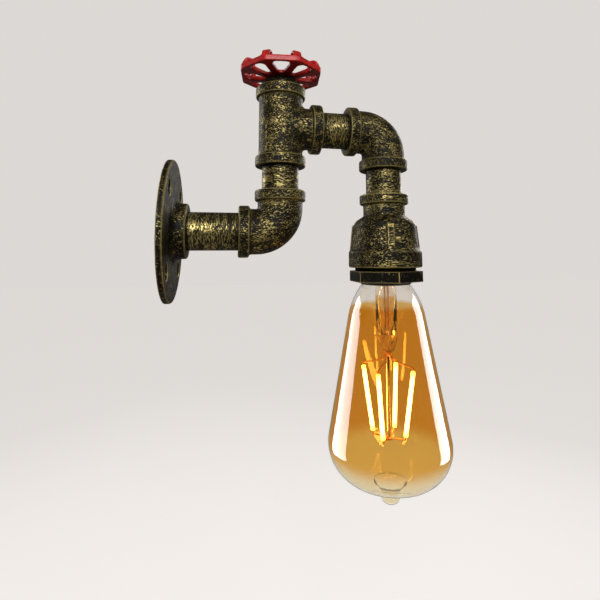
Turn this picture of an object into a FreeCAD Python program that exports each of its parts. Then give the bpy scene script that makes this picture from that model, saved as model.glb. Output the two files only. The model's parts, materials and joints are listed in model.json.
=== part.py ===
import FreeCAD
import Part
import math
import os

# Industrial pipe wall light: a wall flange, half-inch pipe nipples and fittings that rise, reach out
# and drop, a red handwheel on the tee and a screwed lampholder with a teardrop filament bulb.
# Millimetres. Origin at the centre of the flange's back face, +X out from the wall, +Z up.

os.makedirs("parts", exist_ok=True)

# ---- fits ----
thread_fit = 0.05       # radial play of a tightened pipe thread, both threads left plain
running_fit = 0.05      # radial play of the spindle in its plug
slip_fit = 0.1          # radial play of parts that drop into each other
seat_gap = 0.05         # play between parts that are clamped end to end

# ---- edges ----
smallest_arc = 2.0      # turned edges broken by less than this radius get a flat
flat_share = 0.586      # width of that flat's setback over the arc's, so that it touches the arc
shortest_edge = 1e-6

# ---- pipe and fittings ----
pipe_radius = 10.65
pipe_bore_radius = 8.0
riser_x = 61.2          # wall face to the riser's axis
arm_z = 61.3            # wall pipe's axis to the arm's axis
arm_reach = 63.2        # riser's axis to the drop's axis
fitting_leg = 23.7      # centre of a fitting to its open end
fitting_radius = 13.0   # body of an elbow
fitting_bend = 13.6     # centreline radius of an elbow
band_radius = 14.75
band_width = 6.2
band_edge = 0.9         # rounding of a band's edges
band_root = 0.8         # hollow between a band and the body
socket_depth = 11.0     # thread engagement in a fitting
tee_run_radius = 12.9
tee_branch_radius = 12.3
tee_crotch = 2.6        # rounding where the branch leaves the run

# ---- wall flange ----
flange_radius = 39.0
flange_thickness = 3.4
flange_edge = 1.1
hub_radius = 15.3
hub_length = 10.6
hub_flare = 3.6
hub_edge = 1.2
inlet_depth = 2.4
inlet_radius = 8.6
screw_circle_radius = 30.0
screw_hole_radius = 4.2
screw_hole_count = 4

# ---- reducing socket over the lampholder ----
reducer_top_z = 22.6
reducer_neck_radius = 12.6
reducer_collar_height = 5.9
reducer_neck_height = 6.9
shoulder_radius = 18.5
shoulder_height = 5.6
shoulder_round = 6.0
bell_radius = 19.9
bell_height = 13.8
bell_slope_height = 2.1
bell_band_radius = 21.8
bell_band_height = 9.2
bell_bore_radius = 16.65
bell_bore_depth = 16.0
bell_wall = 3.0
rib_count = 4
rib_phase = -9.6        # degrees from +X to the first rib
rib_width = 4.0
rib_height = 1.1

# ---- hexagonal bushing and lampholder ----
hex_stand_out = 0.15    # hexagon's corners past the band above
hex_height = 6.3
hex_gap = 1.9           # collar that shows above the hexagon
hex_collar_radius = 18.0
hex_corner_cut = 0.25
sleeve_wall = 1.5
rim_drop = 1.2          # lampholder rim below the hexagon
rim_wall = 0.7
holder_flange_height = 2.6
holder_floor = 3.0
holder_top_z = 0.6
holder_edge = 1.0
shell_radius = 13.4     # inside of the lampholder's screw shell
shell_wall = 0.4
shell_lip_z = -26.6
contact_width = 6.0
contact_thickness = 0.5
contact_tip_reach = 2.5
contact_tip_start = 1.5
rivet_radius = 1.3
rivet_head_radius = 2.1
rivet_head_height = 0.8
terminal_offset = 6.6
terminal_size = 5.6
terminal_height = 4.0
terminal_screw_radius = 1.5
screw_slot_width = 0.6
screw_slot_depth = 0.8
tag_thickness = 0.5
tag_width = 4.0
tag_rim_width = 2.4
tag_reach = 2.0         # end of the tag's tongue past the pipe's axis

# ---- leads ----
lead_radius = 1.1
lead_spacing = 3.3
lead_start_x = 6.6
lead_bend = 16.0
lead_set_bend = 20.0
lead_set_length = 10.0
lead_set_height = 5.4   # start of the set above the terminals
lead_entry = 2.4        # lead inside its terminal

# ---- plug, spindle and handwheel on the tee ----
plug_dome_radius = 12.3
plug_dome_height = 5.2
plug_side_height = 3.6
plug_side_round = 4.5
plug_crown_radius = 7.5
plug_crown_round = 6.0
plug_depth = 10.0
plug_end_edge = 0.6
spindle_radius = 3.0
spindle_square = 4.6
spindle_tail = 4.0
spindle_screw_radius = 2.0
spindle_collar_radius = 5.0
spindle_collar_height = 0.9
collar_play = 0.2       # play under the spindle's collar
clip_radius = 5.4
clip_thickness = 0.9
clip_play = 0.15
clip_seat_radius = 2.4
clip_mouth = 3.6
wheel_sides = 8
wheel_phase = 17.4      # degrees from +X to the first corner
wheel_corner_radius = 25.3
wheel_corner_round = 4.0
wheel_dish = 1.7        # rise of the rim over the hub
wheel_rim_wall = 2.0
wheel_rim_low = 1.0     # heights above the hub's underside
wheel_rim_top = 4.7
wheel_web_thickness = 2.3
wheel_spoke_width = 4.6
wheel_window_round = 3.2
wheel_window_foot = 1.3 # rounding of a window beside the hub
wheel_hub_radius = 9.4
wheel_hub_height = 2.3
wheel_ridge_width = 2.2
wheel_ridge_height = 1.0
wheel_arch_width = 4.6
wheel_arch_length = 7.2
wheel_arch_top = 8.7
wheel_arch_round = 3.2
wheel_arch_wall = 1.6
wheel_arch_lean = 0.8   # outer face drawn in at the top
wheel_arch_inset = 1.1  # arch's foot set back from the rim's corner
washer_radius = 4.6
washer_thickness = 0.5
nut_flats = 7.0
nut_height = 2.0
nut_corner_cut = 0.4
stud_overrun = 0.5      # thread that shows above the nut

# ---- bulb ----
cap_length = 25.0
cap_radius = 13.1
cap_root = 0.7          # depth of the cap's thread
cap_wall = 0.35
cap_skirt_radius = 12.75
cap_skirt_height = 2.4
cap_pitch = 3.6
cap_turns = 4
cap_thread_round = 0.8
cap_top_z = -4.0        # tip of the cap's contact
cap_contact_radius = 4.0
cap_contact_height = 1.2
cap_contact_edge = 0.4
cap_insulator_radius = 9.6
cap_insulator_height = 3.1
cap_insulator_flange = 1.6
cap_insulator_foot = 0.9
glass_wall = 0.8
neck_length = 4.4
neck_foot_round = 0.4
neck_foot_gap = 0.3     # straight neck that shows below the cap
mouth_radius = 14.1     # glass level with the lampholder's rim
mouth_round = 1.5
shoulder_drop = 10.6    # lampholder's rim to the corner that the glass shoulder rounds off
glass_shoulder_round = 40.0
belly_radius = 34.9
belly_z = -119.2
belly_arc = 19.6
cone_angle = 10.3
bottom_arc = 54.0
tip_flare_radius = 9.5
tip_top_radius = 6.4
tip_end_radius = 4.4
tip_round = 3.0
tip_length = 9.1
tip_root = 3.0
stem_radius = 6.2
stem_wall = 1.0
stem_flare_height = 5.0
stem_end_z = -68.4
press_length = 9.0
press_thickness = 3.4
exhaust_radius = 1.9
exhaust_wall = 0.6
inlead_radius = 0.4
inlead_spacing = 3.2
crimp_length = 8.6
crimp_height = 2.8
crimp_edge = 1.0
support_radius = 0.45
support_bend = 1.4
support_root = 2.6      # support wires leave the crimp this far from the axis
filament_count = 4
filament_phase = 50.0   # degrees from +X to the first filament
filament_radius = 1.15
filament_top_z = -79.0
filament_bottom_z = -115.0
filament_top_reach = 15.2
filament_bottom_reach = 9.8
filament_tail = 1.7     # bare wire at each end of a filament
rod_radius = 1.0
joint_radius = 1.8
joint_height = 1.8
joint_drop = 2.2        # filaments' lower ends to the joint
board_width = 13.0
board_thickness = 1.6

# ---- places worked out from the sizes above ----
drop_x = riser_x + arm_reach
socket_radius = pipe_radius + thread_fit
tee_top_z = arm_z + fitting_leg
wheel_base_z = tee_top_z + plug_dome_height + collar_play + spindle_collar_height
bell_bottom_z = (reducer_top_z - reducer_collar_height - reducer_neck_height - shoulder_height
                 - bell_height - bell_slope_height - bell_band_height)
bell_cavity_radius = shoulder_radius - bell_wall
bore_end_z = bell_bottom_z + bell_bore_depth
hex_top_z = bell_bottom_z - hex_gap
hex_width = (bell_band_radius + hex_stand_out) * math.sqrt(3)
hex_bottom_z = hex_top_z - hex_height
holder_flange_z = bore_end_z - seat_gap - holder_flange_height
sleeve_radius = bell_bore_radius - thread_fit
sleeve_bore = sleeve_radius - sleeve_wall
sleeve_top_z = holder_flange_z - seat_gap
rim_z = hex_bottom_z - rim_drop
rim_radius = sleeve_bore - slip_fit
holder_bore = shell_radius + shell_wall + slip_fit
floor_z = holder_top_z - holder_floor
shell_top_z = floor_z - seat_gap
terminal_z = holder_top_z + seat_gap
tag_z = reducer_top_z - socket_depth + seat_gap
cap_bottom_z = cap_top_z - cap_length
cap_bore = cap_radius - cap_root - cap_wall
neck_radius = cap_bore - slip_fit
neck_foot_z = cap_bottom_z - neck_foot_gap
neck_top_z = cap_bottom_z + neck_length
insulator_z = cap_top_z - cap_contact_height - cap_insulator_height
joint_z = filament_bottom_z - joint_drop

# ---- directions ----
X = FreeCAD.Vector(1, 0, 0)
Y = FreeCAD.Vector(0, 1, 0)
Z = FreeCAD.Vector(0, 0, 1)


def v(x, y, z):
    return FreeCAD.Vector(x, y, z)


def save(shape, node):
    solids = shape.removeSplitter().Solids
    whole = solids[0] if len(solids) == 1 else Part.makeCompound(solids)
    whole.exportStep("parts/" + node + ".step")
    print(node, len(solids), round(whole.Volume, 1), whole.isValid())


def round_corners(corners, smallest=0.0):
    # closed wire through (point, radius) corners: a tangent arc at each, or a flat below the smallest arc
    edges = []
    starts = []
    ends = []
    count = len(corners)
    for i, (point, radius) in enumerate(corners):
        to_before = (corners[i - 1][0] - point).normalize()
        to_after = (corners[(i + 1) % count][0] - point).normalize()
        half = to_before.getAngle(to_after) / 2
        setback = radius / math.tan(half)
        if radius < smallest:
            setback = setback * flat_share
        start = point + to_before * setback
        end = point + to_after * setback
        starts.append(start)
        ends.append(end)
        if i > 0 and ends[i - 1].distanceToPoint(start) > shortest_edge:
            edges.append(Part.LineSegment(ends[i - 1], start).toShape())
        if radius > 0 and radius >= smallest:
            inward = (to_before + to_after).normalize()
            middle = point + inward * (radius / math.sin(half) - radius)
            edges.append(Part.Arc(start, middle, end).toShape())
        elif radius > 0:
            edges.append(Part.LineSegment(start, end).toShape())
    if ends[-1].distanceToPoint(starts[0]) > shortest_edge:
        edges.append(Part.LineSegment(ends[-1], starts[0]).toShape())
    return Part.Wire(edges)


def turned(outline):
    # solid of revolution about Z from (radius, height, corner radius) corners
    corners = [(v(r, 0, z), fillet) for r, z, fillet in outline]
    return Part.Face(round_corners(corners, smallest_arc)).revolve(v(0, 0, 0), Z, 360)


def rod(radius, low, high):
    return Part.makeCylinder(radius, high - low, v(0, 0, low))


def prism(corners, low, high):
    points = [(v(x, y, low), fillet) for x, y, fillet in corners]
    return Part.Face(round_corners(points)).extrude(v(0, 0, high - low))


def polygon(sides, corner_radius, fillet, phase=0.0):
    turns = [math.radians(phase + 360.0 * i / sides) for i in range(sides)]
    return [(corner_radius * math.cos(t), corner_radius * math.sin(t), fillet) for t in turns]


def bar(start, end, radius):
    run = end - start
    return Part.makeCylinder(radius, run.Length, start, run)


def at_angle(radius, degrees, z):
    turn = math.radians(degrees)
    return v(radius * math.cos(turn), radius * math.sin(turn), z)


def path(points, bends):
    # straight runs joined by tangent arcs, one arc radius for each inner point
    edges = []
    last = points[0]
    for i, bend in enumerate(bends):
        corner = points[i + 1]
        back = (points[i] - corner).normalize()
        onward = (points[i + 2] - corner).normalize()
        half = back.getAngle(onward) / 2
        setback = bend / math.tan(half)
        start = corner + back * setback
        end = corner + onward * setback
        middle = corner + (back + onward).normalize() * (bend / math.sin(half) - bend)
        edges.append(Part.LineSegment(last, start).toShape())
        edges.append(Part.Arc(start, middle, end).toShape())
        last = end
    edges.append(Part.LineSegment(last, points[-1]).toShape())
    return edges


def wire_along(points, bends, radius):
    route = Part.Wire(path(points, bends))
    circle = Part.Wire(Part.makeCircle(radius, points[0], points[1] - points[0]))
    return route.makePipeShell([circle], True, False), route.Length


def around_z(shape, count, first=0.0):
    copies = []
    for i in range(count):
        copy = shape.copy()
        copy.rotate(v(0, 0, 0), Z, first + 360.0 * i / count)
        copies.append(copy)
    return copies


def lay_along_x(shape):
    # turns a piece made on +Z so that it points along +X
    shape.rotate(v(0, 0, 0), Y, 90)
    return shape


def moved(shape, x, y, z):
    shape.translate(v(x, y, z))
    return shape


# ---- wall flange and pipes ----

def wall_flange():
    body = turned([
        (inlet_radius, 0, 0),
        (flange_radius, 0, 0),
        (flange_radius, flange_thickness, flange_edge),
        (hub_radius, flange_thickness, hub_flare),
        (hub_radius, hub_length, hub_edge),
        (socket_radius, hub_length, 0),
        (socket_radius, inlet_depth, 0),
        (inlet_radius, inlet_depth, 0),
    ])
    hole = moved(rod(screw_hole_radius, -1, flange_thickness + 1), screw_circle_radius, 0, 0)
    body = body.cut(around_z(hole, screw_hole_count, 180.0 / screw_hole_count))
    return lay_along_x(body)


def nipple(length):
    return rod(pipe_radius, 0, length).cut(rod(pipe_bore_radius, -1, length + 1))


def wall_nipple():
    start = inlet_depth + seat_gap
    end = riser_x - fitting_leg + socket_depth - seat_gap
    return moved(lay_along_x(nipple(end - start)), start, 0, 0)


def riser_nipple():
    start = fitting_leg - socket_depth + seat_gap
    end = arm_z - fitting_leg + socket_depth - seat_gap
    return moved(nipple(end - start), riser_x, 0, start)


def arm_nipple():
    start = riser_x + fitting_leg - socket_depth + seat_gap
    end = drop_x - fitting_leg + socket_depth - seat_gap
    return moved(lay_along_x(nipple(end - start)), start, 0, arm_z)


def drop_nipple():
    start = tag_z + tag_thickness + seat_gap
    end = arm_z - fitting_leg + socket_depth - seat_gap
    return moved(nipple(end - start), drop_x, 0, start)


# ---- screwed fittings ----

def band(body_radius):
    # raised band at a fitting's open end, mouth at the height of the fitting's leg
    low = fitting_leg - band_width
    return turned([
        (pipe_bore_radius, low - band_root, 0),
        (body_radius, low - band_root, 0),
        (body_radius, low, band_root),
        (band_radius, low, band_edge),
        (band_radius, fitting_leg, band_edge),
        (pipe_bore_radius, fitting_leg, 0),
    ])


def socket():
    return rod(socket_radius, fitting_leg - socket_depth, fitting_leg + 1)


def quarter_bend(radius):
    # quarter turn between the +X leg and the +Z leg
    circle = Part.Wire(Part.makeCircle(radius, v(fitting_bend, 0, 0), X))
    return Part.Face(circle).revolve(v(fitting_bend, 0, fitting_bend), Y, 90)


def elbow():
    # legs on +X and +Z
    straight = rod(fitting_radius, fitting_bend, fitting_leg - 1)
    outside = quarter_bend(fitting_radius)
    outside = outside.fuse([straight, lay_along_x(straight.copy())])
    outside = outside.fuse([band(fitting_radius), lay_along_x(band(fitting_radius))])
    passage = rod(pipe_bore_radius, fitting_bend, fitting_leg)
    inside = quarter_bend(pipe_bore_radius)
    inside = inside.fuse([passage, lay_along_x(passage.copy()), socket(), lay_along_x(socket())])
    return outside.cut(inside)


def lower_elbow():
    shape = elbow()
    shape.rotate(v(0, 0, 0), Z, 180)
    return moved(shape, riser_x, 0, 0)


def upper_elbow():
    shape = elbow()
    shape.rotate(v(0, 0, 0), Y, 180)
    return moved(shape, drop_x, 0, arm_z)


def tee():
    run = rod(tee_run_radius, -fitting_leg + 1, fitting_leg - 1)
    branch = lay_along_x(rod(tee_branch_radius, 0, fitting_leg - 1))
    body = run.fuse(branch).removeSplitter()
    crotch = [e for e in body.Edges if e.Curve.TypeId not in ("Part::GeomCircle", "Part::GeomLine")]
    body = body.makeFillet(tee_crotch, crotch)
    lower_band = band(tee_run_radius)
    lower_band.rotate(v(0, 0, 0), Y, 180)
    body = body.fuse([band(tee_run_radius), lower_band, lay_along_x(band(tee_branch_radius))])
    lower_socket = socket()
    lower_socket.rotate(v(0, 0, 0), Y, 180)
    run_passage = rod(pipe_bore_radius, -fitting_leg, fitting_leg)
    branch_passage = lay_along_x(rod(pipe_bore_radius, 0, fitting_leg))
    inside = run_passage.fuse([branch_passage, socket(), lower_socket, lay_along_x(socket())])
    return moved(body.cut(inside), riser_x, 0, arm_z)


def reducing_socket():
    collar_z = reducer_top_z - reducer_collar_height
    neck_z = collar_z - reducer_neck_height
    shoulder_z = neck_z - shoulder_height
    skirt_z = shoulder_z - bell_height
    band_z = skirt_z - bell_slope_height
    roof_z = neck_z - bell_wall
    body = turned([
        (socket_radius, reducer_top_z, 0),
        (band_radius, reducer_top_z, band_edge),
        (band_radius, collar_z, band_edge),
        (reducer_neck_radius, collar_z, band_root),
        (reducer_neck_radius, neck_z, band_root),
        (shoulder_radius, shoulder_z + shoulder_height / 3, shoulder_round),
        (bell_radius, skirt_z, 0),
        (bell_band_radius, band_z, band_edge),
        (bell_band_radius, bell_bottom_z, band_edge),
        (bell_bore_radius, bell_bottom_z, 0),
        (bell_bore_radius, bore_end_z, 0),
        (bell_cavity_radius, bore_end_z, 0),
        (bell_cavity_radius, shoulder_z, 2 * band_edge),
        (pipe_bore_radius, roof_z, band_edge),
        (pipe_bore_radius, reducer_top_z - socket_depth, 0),
        (socket_radius, reducer_top_z - socket_depth, 0),
    ])
    rib = Part.makePolygon([
        v(bell_bore_radius + 1, 0, shoulder_z),
        v(shoulder_radius + rib_height, 0, shoulder_z),
        v(bell_radius + rib_height, 0, skirt_z),
        v(bell_radius + rib_height, 0, band_z + rib_height),
        v(bell_bore_radius + 1, 0, band_z + rib_height),
        v(bell_bore_radius + 1, 0, shoulder_z),
    ])
    rib = Part.Face(rib).extrude(v(0, rib_width, 0))
    body = body.fuse(around_z(moved(rib, 0, -rib_width / 2, 0), rib_count, rib_phase))
    return moved(body, drop_x, 0, 0)


# ---- hexagonal bushing and lampholder ----

def hexagon(flats, low, high, corner_cut):
    # hexagon with corners on the Y axis, its corners turned off at both ends
    corner = flats / math.sqrt(3)
    body = prism(polygon(6, corner, 0, 90), low, high)
    limit = turned([
        (0, low, 0),
        (corner - corner_cut, low, 0),
        (corner, low + corner_cut, 0),
        (corner, high - corner_cut, 0),
        (corner - corner_cut, high, 0),
        (0, high, 0),
    ])
    return body.common(limit)


def hex_bushing():
    body = hexagon(hex_width, hex_bottom_z, hex_top_z, hex_corner_cut)
    body = body.fuse(rod(hex_collar_radius, hex_top_z, bell_bottom_z - seat_gap))
    body = body.fuse(rod(sleeve_radius, bell_bottom_z - seat_gap, sleeve_top_z))
    return moved(body.cut(rod(sleeve_bore, hex_bottom_z - 1, sleeve_top_z + 1)), drop_x, 0, 0)


def rivet_hole(y):
    return moved(rod(rivet_radius + slip_fit, floor_z - holder_floor, holder_top_z + 1), 0, y, 0)


def lampholder_body():
    lip = shell_lip_z - slip_fit
    body = turned([
        (rim_radius - rim_wall, rim_z, 0),
        (rim_radius, rim_z, 0),
        (rim_radius, holder_flange_z, 0),
        (bell_bore_radius - slip_fit, holder_flange_z, 0),
        (bell_bore_radius - slip_fit, holder_flange_z + holder_flange_height, 0),
        (bell_cavity_radius - slip_fit, holder_flange_z + holder_flange_height, 0),
        (bell_cavity_radius - slip_fit, holder_top_z, holder_edge),
        (0, holder_top_z, 0),
        (0, floor_z, 0),
        (holder_bore, floor_z, 0),
        (holder_bore, lip, 0),
        (rim_radius - rim_wall, lip, 0),
    ])
    body = body.cut([rivet_hole(-terminal_offset), rivet_hole(terminal_offset)])
    return moved(body, drop_x, 0, 0)


def lampholder_shell():
    # open brass shell with a bridge across its end that carries the neutral rivet
    outer = shell_radius + shell_wall
    body = rod(outer, shell_lip_z, shell_top_z).cut(rod(shell_radius, shell_lip_z - 1, shell_top_z + 1))
    inner_y = terminal_offset - contact_width / 2
    bridge = Part.makeBox(contact_width, outer - inner_y, shell_wall,
                          v(-contact_width / 2, inner_y, shell_top_z - shell_wall))
    body = body.fuse(bridge.common(rod(outer, shell_lip_z, shell_top_z)))
    return moved(body.cut(rivet_hole(terminal_offset)), drop_x, 0, 0)


def centre_contact():
    # springy blade: flat under the floor at its rivet, then bent down to the bulb's contact
    tip_z = cap_top_z + seat_gap + contact_thickness
    outline = [
        v(0, -terminal_offset - contact_width / 2, shell_top_z),
        v(0, -terminal_offset + contact_width / 2, shell_top_z),
        v(0, -contact_tip_start, tip_z),
        v(0, contact_tip_reach, tip_z),
    ]
    lower = [point - Z * contact_thickness for point in reversed(outline)]
    face = Part.Face(Part.makePolygon(outline + lower + [outline[0]]))
    blade = moved(face.extrude(v(contact_width, 0, 0)), -contact_width / 2, 0, 0)
    return moved(blade.cut(rivet_hole(-terminal_offset)), drop_x, 0, 0)


def floor_rivet(y, held_thickness):
    # through the lampholder's floor, its head under the sheet that it holds
    grip = shell_top_z - held_thickness - seat_gap
    head = rod(rivet_head_radius, grip - rivet_head_height, grip)
    shank = rod(rivet_radius, grip - rivet_head_height, holder_top_z)
    return moved(head.fuse(shank), drop_x, y, 0)


def contact_rivet():
    return floor_rivet(-terminal_offset, contact_thickness)


def shell_rivet():
    return floor_rivet(terminal_offset, shell_wall)


def terminal(y):
    # brass block on the lampholder's floor, open on top for its lead and at the side for its screw
    half = terminal_size / 2
    high = terminal_z + terminal_height
    block = Part.makeBox(terminal_size, terminal_size, terminal_height, v(-half, y - half, terminal_z))
    lead_hole = moved(rod(lead_radius + slip_fit, high - lead_entry, high + 1), 0, y, 0)
    screw_hole = lay_along_x(rod(terminal_screw_radius + thread_fit, 0, half + 1))
    screw_hole = moved(screw_hole, 0, y, terminal_z + terminal_height / 2)
    return moved(block.cut([lead_hole, screw_hole]), drop_x, 0, 0)


def live_terminal():
    return terminal(-terminal_offset)


def neutral_terminal():
    return terminal(terminal_offset)


def terminal_screws():
    start = lead_radius + slip_fit
    end = terminal_size / 2
    screw = rod(terminal_screw_radius, start, end)
    slot = Part.makeBox(screw_slot_width, 4 * terminal_screw_radius, screw_slot_depth,
                        v(-screw_slot_width / 2, -2 * terminal_screw_radius, end - screw_slot_depth))
    screw = moved(lay_along_x(screw.cut(slot)), drop_x, 0, terminal_z + terminal_height / 2)
    return Part.makeCompound([moved(screw.copy(), 0, side * terminal_offset, 0) for side in (-1, 1)])


def earth_tag():
    # ring clamped under the drop nipple, with a tongue across the bore for the earth lead
    outer = socket_radius - slip_fit
    ring = rod(outer, tag_z, tag_z + tag_thickness)
    ring = ring.cut(rod(outer - tag_rim_width, tag_z - 1, tag_z + 1))
    tongue = Part.makeBox(outer - tag_rim_width / 2 + tag_reach, tag_width, tag_thickness,
                          v(-tag_reach, -tag_width / 2, tag_z))
    return moved(ring.fuse(tongue), drop_x, 0, 0)


# ---- leads through the pipes ----

def lead(points, bends, name):
    tube, length = wire_along(points, bends, lead_radius)
    share = tube.Volume / (math.pi * lead_radius ** 2 * length)
    print(name, "length", round(length, 1), "bends", bends, "volume share", round(share, 4))
    return tube


def pipe_route(side):
    # corners of a lead's route from the wall to the drop, offset sideways by its place in the pipe
    y = side * lead_spacing
    return [v(lead_start_x, y, 0), v(riser_x, y, 0), v(riser_x, y, arm_z), v(drop_x, y, arm_z)]


def terminal_lead(side, name):
    y = side * lead_spacing
    end_y = side * terminal_offset
    top = terminal_z + terminal_height
    set_z = top + lead_set_height
    points = pipe_route(side)
    points += [v(drop_x, y, set_z + lead_set_length), v(drop_x, end_y, set_z)]
    points.append(v(drop_x, end_y, top - lead_entry + slip_fit))
    return lead(points, [lead_bend] * 3 + [lead_set_bend] * 2, name)


def live_lead():
    return terminal_lead(-1, "live_lead")


def neutral_lead():
    return terminal_lead(1, "neutral_lead")


def earth_lead():
    points = pipe_route(0)
    points.append(v(drop_x, 0, tag_z + tag_thickness + seat_gap))
    return lead(points, [lead_bend] * 3, "earth_lead")


# ---- plug, spindle and handwheel ----

def top_plug():
    base = tee_top_z + seat_gap
    bore = spindle_radius + running_fit
    crown = tee_top_z + plug_dome_height
    body = turned([
        (bore, tee_top_z - plug_depth, 0),
        (pipe_radius, tee_top_z - plug_depth, plug_end_edge),
        (pipe_radius, base, 0),
        (plug_dome_radius, base, 0),
        (plug_dome_radius, base + plug_side_height, plug_side_round),
        (plug_crown_radius, crown, plug_crown_round),
        (bore, crown, 0),
    ])
    return moved(body, riser_x, 0, 0)


def square_bar(width, low, high):
    return Part.makeBox(width, width, high - low, v(-width / 2, -width / 2, low))


def wheel_spindle():
    collar_z = wheel_base_z - spindle_collar_height
    groove_z = tee_top_z - plug_depth - clip_play - clip_thickness - seat_gap
    groove_top = groove_z + clip_thickness + 2 * seat_gap
    square_top = wheel_base_z + wheel_hub_height - seat_gap
    thread_top = wheel_base_z + wheel_hub_height + washer_thickness + nut_height + stud_overrun
    body = rod(spindle_radius, tee_top_z - plug_depth - spindle_tail, collar_z)
    body = body.fuse([
        rod(spindle_collar_radius, collar_z, wheel_base_z),
        square_bar(spindle_square, wheel_base_z, square_top),
        rod(spindle_screw_radius, wheel_base_z, thread_top),
    ])
    groove = rod(spindle_radius + 1, groove_z, groove_top).cut(rod(clip_seat_radius, groove_z, groove_top))
    body = body.cut(groove)
    body.rotate(v(0, 0, 0), Z, wheel_phase)
    return moved(body, riser_x, 0, 0)


def spindle_clip():
    low = tee_top_z - plug_depth - clip_play - clip_thickness
    ring = rod(clip_radius, low, low + clip_thickness)
    ring = ring.cut(rod(clip_seat_radius + thread_fit, low - 1, low + clip_thickness + 1))
    mouth = Part.makeBox(clip_radius + 1, clip_mouth, clip_thickness + 2, v(0, -clip_mouth / 2, low - 1))
    clip = ring.cut(mouth)
    clip.rotate(v(0, 0, 0), Z, wheel_phase)
    return moved(clip, riser_x, 0, 0)


def wheel_outline(inset, low, high):
    # prism of the wheel's outer form, drawn in by the inset
    corner = wheel_corner_radius - inset / math.cos(math.pi / wheel_sides)
    return prism(polygon(wheel_sides, corner, wheel_corner_round - inset), low, high)


def wheel_web():
    # dished plate from hub to rim, with a rounded window between each pair of spokes
    half_turn = math.pi / wheel_sides
    slope = math.tan(half_turn)
    spoke_half = wheel_spoke_width / 2 / math.cos(half_turn)
    far = wheel_corner_radius * math.cos(half_turn) - wheel_rim_wall
    high = wheel_dish + wheel_web_thickness
    window = prism([
        (wheel_hub_radius, -wheel_hub_radius * slope + spoke_half, wheel_window_foot),
        (far, -far * slope + spoke_half, wheel_window_round),
        (far, far * slope - spoke_half, wheel_window_round),
        (wheel_hub_radius, wheel_hub_radius * slope - spoke_half, wheel_window_foot),
    ], -1, high + 1)
    plate = turned([
        (0, 0, 0),
        (wheel_hub_radius, 0, 0),
        (wheel_corner_radius, wheel_dish, 0),
        (wheel_corner_radius, high, 0),
        (wheel_hub_radius, wheel_hub_height, 0),
        (0, wheel_hub_height, 0),
    ])
    web = plate.common(wheel_outline(wheel_rim_wall / 2, -1, high + 1))
    return web.cut(around_z(window, wheel_sides, 180.0 / wheel_sides))


def wheel_arch():
    # hooked arch over a spoke's outer end, on +X, open on both sides
    end = wheel_corner_radius - wheel_arch_inset
    start = end - wheel_arch_length
    foot = (wheel_rim_low + wheel_rim_top) / 2
    outside = Part.Face(round_corners([
        (v(start, 0, foot), 0),
        (v(end, 0, foot), 0),
        (v(end - wheel_arch_lean, 0, wheel_arch_top), wheel_arch_round),
        (v(start, 0, wheel_arch_top), wheel_arch_round),
    ]))
    inner_round = wheel_arch_round - wheel_arch_wall
    inner_end = end - wheel_arch_wall - wheel_arch_lean
    inside = Part.Face(round_corners([
        (v(start + wheel_arch_wall, 0, wheel_rim_top), inner_round / 2),
        (v(inner_end, 0, wheel_rim_top), inner_round / 2),
        (v(inner_end, 0, wheel_arch_top - wheel_arch_wall), inner_round),
        (v(start + wheel_arch_wall, 0, wheel_arch_top - wheel_arch_wall), inner_round),
    ]))
    arch = outside.extrude(v(0, wheel_arch_width, 0)).cut(inside.extrude(v(0, wheel_arch_width, 0)))
    return moved(arch, 0, -wheel_arch_width / 2, 0)


def wheel_ridge():
    # rib along a spoke's top, from the hub out to the arch
    start = wheel_hub_radius - wheel_web_thickness
    end = wheel_corner_radius - wheel_arch_inset - wheel_arch_length + wheel_arch_wall / 2
    face = Part.Face(Part.makePolygon([
        v(start, 0, wheel_hub_height / 2),
        v(end, 0, wheel_dish),
        v(end, 0, wheel_dish + wheel_web_thickness + wheel_ridge_height),
        v(start, 0, wheel_hub_height),
        v(start, 0, wheel_hub_height / 2),
    ]))
    return moved(face.extrude(v(0, wheel_ridge_width, 0)), 0, -wheel_ridge_width / 2, 0)


def handwheel():
    rim = wheel_outline(0, wheel_rim_low, wheel_rim_top)
    rim = rim.cut(wheel_outline(wheel_rim_wall, wheel_rim_low - 1, wheel_rim_top + 1))
    arches = around_z(wheel_arch(), wheel_sides)
    body = wheel_web().fuse([rim] + arches + around_z(wheel_ridge(), wheel_sides))
    body = body.cut(square_bar(spindle_square + 2 * slip_fit, -1, wheel_hub_height + 1))
    body.rotate(v(0, 0, 0), Z, wheel_phase)
    return moved(body, riser_x, 0, wheel_base_z)


def wheel_washer():
    low = wheel_base_z + wheel_hub_height
    ring = rod(washer_radius, low, low + washer_thickness)
    hole = rod(spindle_screw_radius + slip_fit, low - 1, low + washer_thickness + 1)
    return moved(ring.cut(hole), riser_x, 0, 0)


def wheel_nut():
    low = wheel_base_z + wheel_hub_height + washer_thickness
    body = hexagon(nut_flats, low, low + nut_height, nut_corner_cut)
    hole = rod(spindle_screw_radius + thread_fit, low - 1, low + nut_height + 1)
    return moved(body.cut(hole), riser_x, 0, 0)


# ---- bulb: cap ----

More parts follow.
